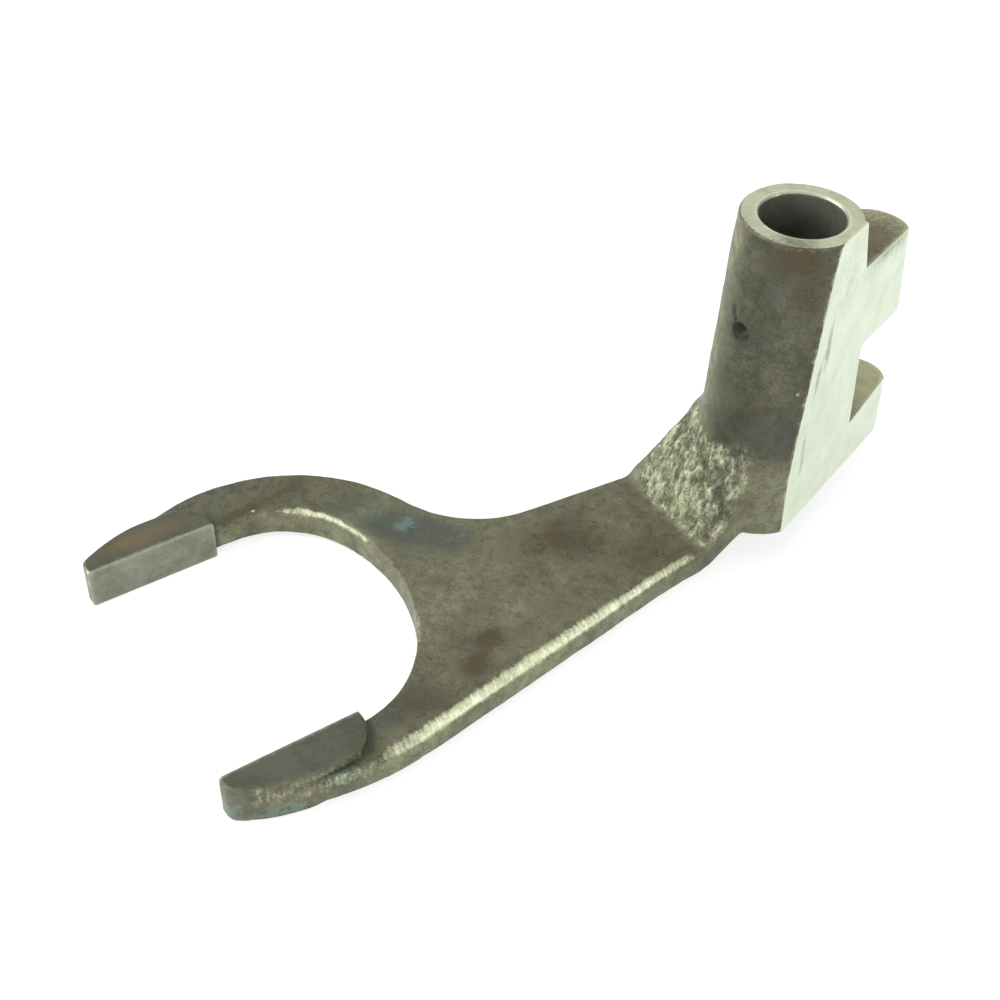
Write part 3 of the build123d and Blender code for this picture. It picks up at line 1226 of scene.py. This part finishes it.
    def round_over(self, mesh: DenseMesh, skin: np.ndarray) -> np.ndarray:
        """Wears the sharp edges and fills the forged corners.

        Args:
            mesh: The mesh to change.
            skin: Where the surface is as forged.

        Returns:
            How near each vertex is to an edge, from 0 to 1.
        """
        crease = np.zeros(len(mesh.points))
        crease[mesh.pairs[mesh.creases()].ravel()] = 1.0
        calm = skin * (1 - np.clip(2.5 * mesh.spread(crease, 2), 0, 1))
        for _ in range(self.calm_rounds):
            mesh.soften(calm, 1)
            mesh.soften(self.calm_back * calm, 1)
        curve = mesh.bulge(self.corner_reach)
        x, y, z = mesh.points.T
        facing = mesh.normals()
        wall = (np.abs(facing[:, 2]) < 0.15) & (z < -1.0) & (z > self.plate_low_z + 0.6)
        near, throat = self.near_edge(mesh.points), self.throat_edge(mesh.points)
        into_gap = (self.gap_middle_x - x) * facing[:, 0] + (self.gap_centre_y - y) * facing[:, 1]
        outer = (near > 0) & wall & (facing[:, 1] > 0.3)
        self.roll(mesh, near * (self.near_roll - 0.6 * ease(x, 60, 30)), outer)
        self.roll(mesh, throat * self.throat_roll, (throat > 0) & wall & (into_gap > 0))
        mesh.soften(0.5 * np.maximum(near, throat) * ease(z, -5.0, -3.5), 3)
        mesh.soften(np.clip(mesh.spread(crease, 1), 0, 0.5), 1)
        gusset = window(x, 3, 6, 21, 27) * ease(z, 33, 28)
        corner = mesh.spread(ease(curve, -0.03, -0.14), 4) * 1.5
        ridge = ease(curve, 0.06, 0.2) * 0.7
        fold = np.maximum(corner, ridge) * gusset * skin
        mesh.soften(np.clip(fold, 0, 1), self.wide_reach)
        return np.clip(2.0 * mesh.spread(crease, 2), 0, 1)

    def roll(self, mesh: DenseMesh, radius: np.ndarray, wall: np.ndarray) -> None:
        """Rolls the plate's upper edge over to a round of its own radius.

        Args:
            mesh: The mesh to change.
            radius: The round at each vertex, in millimetres.
            wall: The vertices of the wall under the edge.
        """
        facing = mesh.normals()
        walls = np.flatnonzero(wall)
        tree = KDTree(len(walls))
        for slot, i in enumerate(walls):
            tree.insert((mesh.points[i, 0], mesh.points[i, 1], 0.0), slot)
        tree.balance()
        for i in np.flatnonzero(radius > 0.1):
            point = mesh.points[i]
            found = tree.find_n((point[0], point[1], 0.0), self.wall_points)
            near = walls[[slot for _, slot, _ in found]]
            out = facing[near, :2].mean(axis=0)
            out /= np.linalg.norm(out)
            size = radius[i]
            side = size - float((mesh.points[near, :2].mean(axis=0) - point[:2]) @ out)
            rise = size + point[2]
            reach = math.hypot(side, rise)
            if side > 0 and rise > 0 and reach > size:
                point[:2] += out * side * (size / reach - 1)
                point[2] += rise * (size / reach - 1)

    def near_edge(self, points: np.ndarray) -> np.ndarray:
        """Marks the plate's near upper edge, rounded over, bright from rubbing and a painted
        highlight.

        Args:
            points: Places in millimetres.

        Returns:
            From 0 to 1, one number a point.
        """
        x, y, z = points.T
        outside = ease(y - 9.0 * ease(x, 45, 75), 2.5, 4.5)
        return outside * window(x, 19, 25, 97, 104) * window(z, -5.2, -4.2, 0.2, 1.2)

    def throat_edge(self, points: np.ndarray) -> np.ndarray:
        """Marks the upper edge inside the far tine, rounded over, bright from rubbing and a painted
        highlight.

        Args:
            points: Places in millimetres.

        Returns:
            From 0 to 1, one number a point.
        """
        x, y, z = points.T
        from_centre = np.hypot(x - self.gap_middle_x, y - self.gap_centre_y)
        inside = ease(from_centre, 60.0, 54.0) * window(y, -51.0, -46.0, -31, -26)
        return inside * window(x, 63, 66, 86, 92) * ease(z, -5.0, -4.0)

    def wear_and_light(
        self, mesh: DenseMesh, skin: np.ndarray, rim: np.ndarray
    ) -> tuple[np.ndarray, np.ndarray]:
        """Measures where edges shine from rubbing and a painted highlight, and where painted shade
        sits.

        Args:
            mesh: The rounded mesh.
            skin: Where the surface is as forged.
            rim: How near each vertex is to an edge.

        Returns:
            The weight of rubbing with painted highlight, and the weight of painted shade.
        """
        curve = mesh.bulge(self.edge_reach)
        wide = mesh.bulge(self.wide_reach)
        facing = mesh.normals()
        x, y, z = mesh.points.T
        # Painted highlight with rubbing: the rounded edges are brightest where their normal leans
        # between up and out.
        lean = window(facing[:, 2], 0.15, 0.55, 0.95, 0.998)
        near = self.near_edge(mesh.points) * lean * ease(facing[:, 1], 0.06, 0.22)
        near *= 0.48 + 0.38 * window(x, 20, 34, 84, 104)
        throat = 0.62 * self.throat_edge(mesh.points) * lean * ease(facing[:, 1], 0.05, 0.2)
        # Painted highlight on the near pad's rounded shoulder.
        shoulder = ease(x, 96, 102) * ease(y, 12, 14) * window(z, -4.5, -1.5, 0.8, 2.2)
        shoulder *= 0.30 * ease(np.abs(facing[:, 2]), 0.9, 0.6)
        # Convex edges lighter: rubbing with a painted highlight.
        edges = ease(wide, 0.03, 0.20) * np.where(skin > 0, 0.24, 0.5)
        edges = np.maximum(edges, ease(curve, 0.03, 0.12) * np.where(skin > 0, 0.36, 0.70)) * rim
        wear_and_sheen = np.maximum(np.maximum(near, throat), np.maximum(edges, shoulder))
        wear_and_sheen = np.maximum(wear_and_sheen, 0.30 * self.hammered(mesh.points))
        beside_pin = self.beside_pin(x, y, z) + 20 * (x < 5)
        wear_and_sheen *= ease(beside_pin, 2.4, 4.0)
        # Painted shade in concave corners and round the pin hole.
        hollow_shade = np.maximum(ease(curve, -0.02, -0.12) * 0.8, ease(beside_pin, 3.4, 2.2) * 0.7)
        return mesh.spread(wear_and_sheen, 1), mesh.spread(hollow_shade, 1)

    def roughen(self, mesh: DenseMesh, skin: np.ndarray) -> np.ndarray:
        """Gives the skin its forged waves and the gusset its hammer marks.

        Args:
            mesh: The mesh to change.
            skin: Where the surface is as forged.

        Returns:
            The hammer marks' height, from -1 in a dent to 1 on a crest.
        """
        marks = self.hammered(mesh.points)
        lift = np.zeros(len(mesh.points))
        crest = np.zeros(len(mesh.points))
        for i in np.flatnonzero(skin > 0):
            place = Vector(mesh.points[i])
            lift[i] = self.skin_wave * noise.noise(place * self.wave_scale)
            lift[i] += self.skin_grit * noise.noise(place * self.grit_scale)
            if marks[i] > 0:
                stroke = Vector((place.x * 0.35, place.y * 0.95, place.z * 0.35))
                height = noise.noise(stroke) + 0.6 * noise.noise(stroke * 1.8 + Vector((7, 3, 1)))
                height += 0.8 * noise.noise(place * 0.22 + Vector((3, 1, 4)))
                crest[i] = marks[i] * max(-1.0, min(1.0, 1.7 * height))
                lift[i] += self.hammer_depth * (crest[i] - 0.35 * marks[i])
        mesh.points += mesh.normals() * (lift * skin)[:, None]
        return crest

    def to_object(self, mesh: DenseMesh, kinds: np.ndarray) -> bpy.types.Object:
        """Turns the arrays into a Blender piece with its materials.

        Args:
            mesh: The finished mesh.
            kinds: One material place a triangle.

        Returns:
            The new object, linked to the scene.
        """
        data = bpy.data.meshes.new("forged_fork")
        data.from_pydata((mesh.points * MM).tolist(), [], mesh.triangles.tolist())
        for face in Face:
            data.materials.append(FINISHES[face].material())
        data.polygons.foreach_set("material_index", kinds.astype(np.int32))
        data.shade_smooth()
        data.set_sharp_from_angle(angle=math.radians(self.sharp_angle))
        data.update()
        return add_object("forged_fork", data)


@dataclass(frozen=True)
class Lamp:
    """A soft square lamp, in metres and watts."""

    name: str
    place: tuple[float, float, float]
    size: float
    watts: float

    def hang(self, aim: Vector) -> bpy.types.Object:
        """Hangs the lamp and turns it to the object.

        Args:
            aim: What it points at.

        Returns:
            The lamp.
        """
        data = bpy.data.lights.new(self.name, "AREA")
        data.shape = "SQUARE"
        data.size = self.size
        data.energy = self.watts
        lamp = add_object(self.name, data)
        lamp.location = self.place
        lamp.rotation_euler = (aim - Vector(self.place)).to_track_quat("-Z", "Y").to_euler()
        return lamp


@dataclass
class Studio:
    """Pale floor, soft lamps and the camera at the picture's angle."""

    floor_z: float = -7.0
    floor_half: float = 900.0
    floor_shade: float = 0.42
    floor_glow: float = 0.72
    sky_light: float = 0.55
    camera_place: tuple[float, float, float] = (179.756, 161.426, 204.879)
    camera_aim: tuple[float, float, float] = (53.646, -15.253, 12.322)
    camera_roll: float = 2.10
    lens: float = 53.736
    sensor: float = 36.0
    clip_start: float = 0.01
    lamps: tuple[Lamp, ...] = (
        Lamp("key", (0.60, -0.45, 0.50), 0.5, 6.5),
        Lamp("fill", (-0.25, 0.75, 0.38), 0.7, 2.6),
        Lamp("front", (0.62, 0.50, 0.18), 0.5, 3.5),
        Lamp("top", (0.05, -0.05, 0.9), 0.8, 1.5),
    )

    def build(self) -> None:
        """Sets up everything round the object."""
        aim = Vector(self.camera_aim) * MM
        for lamp in self.lamps:
            lamp.hang(aim)
        self.lay_floor()
        self.light_world()
        self.place_camera()
        bpy.context.scene.view_settings.view_transform = "Standard"

    def lay_floor(self) -> bpy.types.Object:
        """Lays the pale floor that keeps the shadow.

        Returns:
            The floor.
        """
        half, low = self.floor_half * MM, self.floor_z * MM
        data = bpy.data.meshes.new("floor")
        corners = [(-half, -half, low), (half, -half, low), (half, half, low), (-half, half, low)]
        data.from_pydata(corners, [], [(0, 1, 2, 3)])
        floor = add_object("floor", data)
        material = bpy.data.materials.new("pale_floor")
        tree = empty_tree(material)
        shade = self.floor_shade
        matt = add_node(tree, "BsdfDiffuse", Color=(shade, shade, shade, 1))
        glow = add_node(tree, "Emission", Strength=self.floor_glow)
        dark = add_node(tree, "Emission", Strength=0.0)
        lift = self.choose(tree, self.seen_rays(tree), dark, glow)
        both = add_node(tree, "AddShader")
        output = add_node(tree, "OutputMaterial")
        tree.links.new(matt.outputs[0], both.inputs[0])
        tree.links.new(lift.outputs[0], both.inputs[1])
        tree.links.new(both.outputs[0], output.inputs["Surface"])
        data.materials.append(material)
        return floor

    def seen_rays(self, tree: bpy.types.NodeTree) -> Socket:
        """Tells the rays that see the backdrop from those that carry light.

        Args:
            tree: The node tree to build in.

        Returns:
            1 for camera, glossy and transmission rays, else 0.
        """
        path = add_node(tree, "LightPath")
        value = path.outputs["Is Camera Ray"]
        for name in ("Is Glossy Ray", "Is Transmission Ray"):
            either = add_node(tree, "Math")
            either.operation = "MAXIMUM"
            tree.links.new(value, either.inputs[0])
            tree.links.new(path.outputs[name], either.inputs[1])
            value = either.outputs["Value"]
        return value

    def choose(
        self, tree: bpy.types.NodeTree, share: Socket, first: bpy.types.Node, second: bpy.types.Node
    ) -> bpy.types.Node:
        """Shows one shader or the other.

        Args:
            tree: The node tree to build in.
            share: How much of the second shader shows.
            first: The shader shown at 0.
            second: The shader shown at 1.

        Returns:
            The mixing node.
        """
        mix = add_node(tree, "MixShader")
        tree.links.new(share, mix.inputs["Fac"])
        tree.links.new(first.outputs[0], mix.inputs[1])
        tree.links.new(second.outputs[0], mix.inputs[2])
        return mix

    def light_world(self) -> None:
        """Makes the backdrop white, with plain soft light from all round."""
        world = bpy.data.worlds.new("soft_white")
        tree = empty_tree(world)
        light = add_node(tree, "Background", Strength=self.sky_light)
        mirrored = add_node(tree, "Background", Strength=1.0)
        white = add_node(tree, "Background", Color=(1, 1, 1, 1))
        around = self.choose(tree, self.seen_rays(tree), light, mirrored)
        camera_ray = add_node(tree, "LightPath").outputs["Is Camera Ray"]
        backdrop = self.choose(tree, camera_ray, around, white)
        output = add_node(tree, "OutputWorld")
        tree.links.new(backdrop.outputs[0], output.inputs["Surface"])
        bpy.context.scene.world = world

    def place_camera(self) -> bpy.types.Object:
        """Puts the camera where the picture was taken from.

        Returns:
            The camera.
        """
        place, aim = Vector(self.camera_place) * MM, Vector(self.camera_aim) * MM
        ahead = (aim - place).normalized()
        level = ahead.cross(Vector((0, 0, 1))).normalized()
        upright = level.cross(ahead)
        roll = math.radians(self.camera_roll)
        right = level * math.cos(roll) + upright * math.sin(roll)
        top = right.cross(ahead)
        data = bpy.data.cameras.new("camera")
        data.lens = self.lens
        data.sensor_width = self.sensor
        data.clip_start = self.clip_start
        camera = add_object("camera", data)
        turn = Matrix((right, top, -ahead)).transposed()
        camera.matrix_world = Matrix.Translation(place) @ turn.to_4x4()
        bpy.context.scene.camera = camera
        return camera


def main() -> None:
    """Builds the fork, then the studio round it."""
    logging.basicConfig(level=logging.INFO, format="%(message)s")
    ShiftFork().dress()
    Studio().build()


if __name__ == "__main__":
    main()
